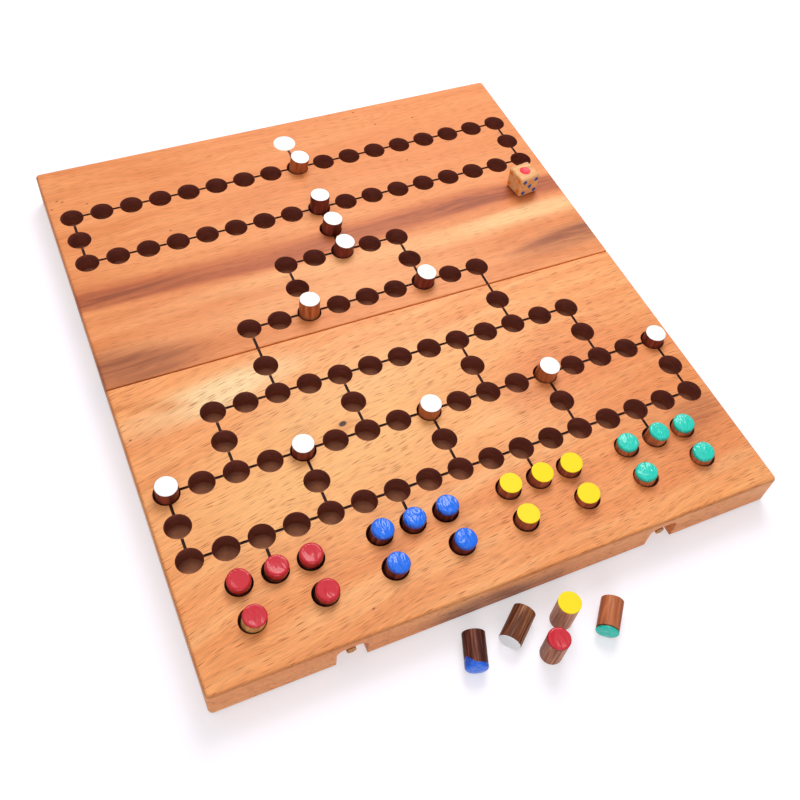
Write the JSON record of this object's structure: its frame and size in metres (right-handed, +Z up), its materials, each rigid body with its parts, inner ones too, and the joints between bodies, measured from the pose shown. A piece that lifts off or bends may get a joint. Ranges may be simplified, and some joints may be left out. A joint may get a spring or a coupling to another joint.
{
  "type": "folding barricade board game",
  "caption": "Folding wooden barricade board game: hinged halves with peg sockets and engraved lines, coloured and white-topped pegs, a die, and storage recesses underneath.",
  "frame": {"origin": "on the table, under the middle of the whole set's footprint, spare pegs included; the seam between the halves lies at y = 0.0165 m", "axes": "+X to the right along the rows of sockets, +Y away from the players towards the goal, +Z up"},
  "size_m": [0.261, 0.329, 0.0308],
  "materials": {
    "near_board_wood": "oiled and waxed solid hardwood, straight grain along X",
    "far_board_wood": "oiled and waxed solid hardwood with a brown streak, grain along X",
    "white_inlay": "white paint on a wooden disc",
    "hinge_brass": "pressed and lacquered brass sheet",
    "screw_brass": "turned brass",
    "pale_dowel": "plain pale hardwood dowel",
    "die_wood": "sanded pale wood with painted pips",
    "red_peg_wood": "brown hardwood dowel with one end dipped in glossy red paint",
    "blue_peg_wood": "dark rosewood dowel with one end dipped in glossy blue paint",
    "yellow_peg_wood": "brown hardwood dowel with one end painted yellow",
    "teal_peg_wood": "orange-brown hardwood dowel with one end dipped in teal paint",
    "barricade_peg_wood": "dark rosewood dowel with one end painted white"
  },
  "bodies": {
    "near_half": {"near_board": "near_board_wood", "near_hinge_screws": "screw_brass", "left_hinge_near_leaf": "hinge_brass", "left_hinge_pin": "hinge_brass", "near_left_band_pin": "pale_dowel", "right_hinge_near_leaf": "hinge_brass", "right_hinge_pin": "hinge_brass", "near_right_band_pin": "pale_dowel"},
    "far_half": {"far_board": "far_board_wood", "goal_disc": "white_inlay", "far_hinge_screws": "screw_brass", "left_hinge_far_leaf": "hinge_brass", "far_left_band_pin": "pale_dowel", "right_hinge_far_leaf": "hinge_brass", "far_right_band_pin": "pale_dowel"},
    "die": {"die": "die_wood"},
    "red_peg_1": {"red_peg_1": "red_peg_wood"},
    "red_peg_2": {"red_peg_2": "red_peg_wood"},
    "red_peg_3": {"red_peg_3": "red_peg_wood"},
    "red_peg_4": {"red_peg_4": "red_peg_wood"},
    "red_peg_5": {"red_peg_5": "red_peg_wood"},
    "blue_peg_1": {"blue_peg_1": "blue_peg_wood"},
    "blue_peg_2": {"blue_peg_2": "blue_peg_wood"},
    "blue_peg_3": {"blue_peg_3": "blue_peg_wood"},
    "blue_peg_4": {"blue_peg_4": "blue_peg_wood"},
    "blue_peg_5": {"blue_peg_5": "blue_peg_wood"},
    "yellow_peg_1": {"yellow_peg_1": "yellow_peg_wood"},
    "yellow_peg_2": {"yellow_peg_2": "yellow_peg_wood"},
    "yellow_peg_3": {"yellow_peg_3": "yellow_peg_wood"},
    "yellow_peg_4": {"yellow_peg_4": "yellow_peg_wood"},
    "yellow_peg_5": {"yellow_peg_5": "yellow_peg_wood"},
    "teal_peg_1": {"teal_peg_1": "teal_peg_wood"},
    "teal_peg_2": {"teal_peg_2": "teal_peg_wood"},
    "teal_peg_3": {"teal_peg_3": "teal_peg_wood"},
    "teal_peg_4": {"teal_peg_4": "teal_peg_wood"},
    "teal_peg_5": {"teal_peg_5": "teal_peg_wood"},
    "barricade_1": {"barricade_1": "barricade_peg_wood"},
    "barricade_2": {"barricade_2": "barricade_peg_wood"},
    "barricade_3": {"barricade_3": "barricade_peg_wood"},
    "barricade_4": {"barricade_4": "barricade_peg_wood"},
    "barricade_5": {"barricade_5": "barricade_peg_wood"},
    "barricade_6": {"barricade_6": "barricade_peg_wood"},
    "barricade_7": {"barricade_7": "barricade_peg_wood"},
    "barricade_8": {"barricade_8": "barricade_peg_wood"},
    "barricade_9": {"barricade_9": "barricade_peg_wood"},
    "barricade_10": {"barricade_10": "barricade_peg_wood"},
    "barricade_11": {"barricade_11": "barricade_peg_wood"},
    "yellow_peg_spare": {"yellow_peg_spare": "yellow_peg_wood"},
    "red_peg_spare": {"red_peg_spare": "red_peg_wood"},
    "blue_peg_spare": {"blue_peg_spare": "blue_peg_wood"},
    "teal_peg_spare": {"teal_peg_spare": "teal_peg_wood"},
    "barricade_spare": {"barricade_spare": "barricade_peg_wood"}
  },
  "joints": [
    {"name": "fold", "type": "hinge", "parent": "near_half", "child": "far_half", "pos_m": [0, 0.01653, 0.00105], "axis": [-1, 0, 0], "range_deg": [0, 180]},
    {"name": "lift_die", "type": "slide", "parent": "far_half", "child": "die", "axis": [0, 0, 1], "range_m": [0, 0.025]},
    {"name": "lift_red_peg_1", "type": "slide", "parent": "near_half", "child": "red_peg_1", "axis": [0, 0, 1], "range_m": [0, 0.025]},
    {"name": "lift_red_peg_2", "type": "slide", "parent": "near_half", "child": "red_peg_2", "axis": [0, 0, 1], "range_m": [0, 0.025]},
    {"name": "lift_red_peg_3", "type": "slide", "parent": "near_half", "child": "red_peg_3", "axis": [0, 0, 1], "range_m": [0, 0.025]},
    {"name": "lift_red_peg_4", "type": "slide", "parent": "near_half", "child": "red_peg_4", "axis": [0, 0, 1], "range_m": [0, 0.025]},
    {"name": "lift_red_peg_5", "type": "slide", "parent": "near_half", "child": "red_peg_5", "axis": [0, 0, 1], "range_m": [0, 0.025]},
    {"name": "lift_blue_peg_1", "type": "slide", "parent": "near_half", "child": "blue_peg_1", "axis": [0, 0, 1], "range_m": [0, 0.025]},
    {"name": "lift_blue_peg_2", "type": "slide", "parent": "near_half", "child": "blue_peg_2", "axis": [0, 0, 1], "range_m": [0, 0.025]},
    {"name": "lift_blue_peg_3", "type": "slide", "parent": "near_half", "child": "blue_peg_3", "axis": [0, 0, 1], "range_m": [0, 0.025]},
    {"name": "lift_blue_peg_4", "type": "slide", "parent": "near_half", "child": "blue_peg_4", "axis": [0, 0, 1], "range_m": [0, 0.025]},
    {"name": "lift_blue_peg_5", "type": "slide", "parent": "near_half", "child": "blue_peg_5", "axis": [0, 0, 1], "range_m": [0, 0.025]},
    {"name": "lift_yellow_peg_1", "type": "slide", "parent": "near_half", "child": "yellow_peg_1", "axis": [0, 0, 1], "range_m": [0, 0.025]},
    {"name": "lift_yellow_peg_2", "type": "slide", "parent": "near_half", "child": "yellow_peg_2", "axis": [0, 0, 1], "range_m": [0, 0.025]},
    {"name": "lift_yellow_peg_3", "type": "slide", "parent": "near_half", "child": "yellow_peg_3", "axis": [0, 0, 1], "range_m": [0, 0.025]},
    {"name": "lift_yellow_peg_4", "type": "slide", "parent": "near_half", "child": "yellow_peg_4", "axis": [0, 0, 1], "range_m": [0, 0.025]},
    {"name": "lift_yellow_peg_5", "type": "slide", "parent": "near_half", "child": "yellow_peg_5", "axis": [0, 0, 1], "range_m": [0, 0.025]},
    {"name": "lift_teal_peg_1", "type": "slide", "parent": "near_half", "child": "teal_peg_1", "axis": [0, 0, 1], "range_m": [0, 0.025]},
    {"name": "lift_teal_peg_2", "type": "slide", "parent": "near_half", "child": "teal_peg_2", "axis": [0, 0, 1], "range_m": [0, 0.025]},
    {"name": "lift_teal_peg_3", "type": "slide", "parent": "near_half", "child": "teal_peg_3", "axis": [0, 0, 1], "range_m": [0, 0.025]},
    {"name": "lift_teal_peg_4", "type": "slide", "parent": "near_half", "child": "teal_peg_4", "axis": [0, 0, 1], "range_m": [0, 0.025]},
    {"name": "lift_teal_peg_5", "type": "slide", "parent": "near_half", "child": "teal_peg_5", "axis": [0, 0, 1], "range_m": [0, 0.025]},
    {"name": "lift_barricade_1", "type": "slide", "parent": "far_half", "child": "barricade_1", "axis": [0, 0, 1], "range_m": [0, 0.025]},
    {"name": "lift_barricade_2", "type": "slide", "parent": "far_half", "child": "barricade_2", "axis": [0, 0, 1], "range_m": [0, 0.025]},
    {"name": "lift_barricade_3", "type": "slide", "parent": "far_half", "child": "barricade_3", "axis": [0, 0, 1], "range_m": [0, 0.025]},
    {"name": "lift_barricade_4", "type": "slide", "parent": "far_half", "child": "barricade_4", "axis": [0, 0, 1], "range_m": [0, 0.025]},
    {"name": "lift_barricade_5", "type": "slide", "parent": "far_half", "child": "barricade_5", "axis": [0, 0, 1], "range_m": [0, 0.025]},
    {"name": "lift_barricade_6", "type": "slide", "parent": "far_half", "child": "barricade_6", "axis": [0, 0, 1], "range_m": [0, 0.025]},
    {"name": "lift_barricade_7", "type": "slide", "parent": "near_half", "child": "barricade_7", "axis": [0, 0, 1], "range_m": [0, 0.025]},
    {"name": "lift_barricade_8", "type": "slide", "parent": "near_half", "child": "barricade_8", "axis": [0, 0, 1], "range_m": [0, 0.025]},
    {"name": "lift_barricade_9", "type": "slide", "parent": "near_half", "child": "barricade_9", "axis": [0, 0, 1], "range_m": [0, 0.025]},
    {"name": "lift_barricade_10", "type": "slide", "parent": "near_half", "child": "barricade_10", "axis": [0, 0, 1], "range_m": [0, 0.025]},
    {"name": "lift_barricade_11", "type": "slide", "parent": "near_half", "child": "barricade_11", "axis": [0, 0, 1], "range_m": [0, 0.025]},
    {"name": "lift_yellow_peg_spare", "type": "slide", "parent": "near_half", "child": "yellow_peg_spare", "axis": [0, 0, 1], "range_m": [0, 0.025]},
    {"name": "lift_red_peg_spare", "type": "slide", "parent": "near_half", "child": "red_peg_spare", "axis": [0, 0, 1], "range_m": [0, 0.025]},
    {"name": "lift_blue_peg_spare", "type": "slide", "parent": "near_half", "child": "blue_peg_spare", "axis": [0, 0, 1], "range_m": [0, 0.025]},
    {"name": "lift_teal_peg_spare", "type": "slide", "parent": "near_half", "child": "teal_peg_spare", "axis": [0, 0, 1], "range_m": [0, 0.025]},
    {"name": "lift_barricade_spare", "type": "slide", "parent": "near_half", "child": "barricade_spare", "axis": [0, 0, 1], "range_m": [0, 0.025]}
  ]
}
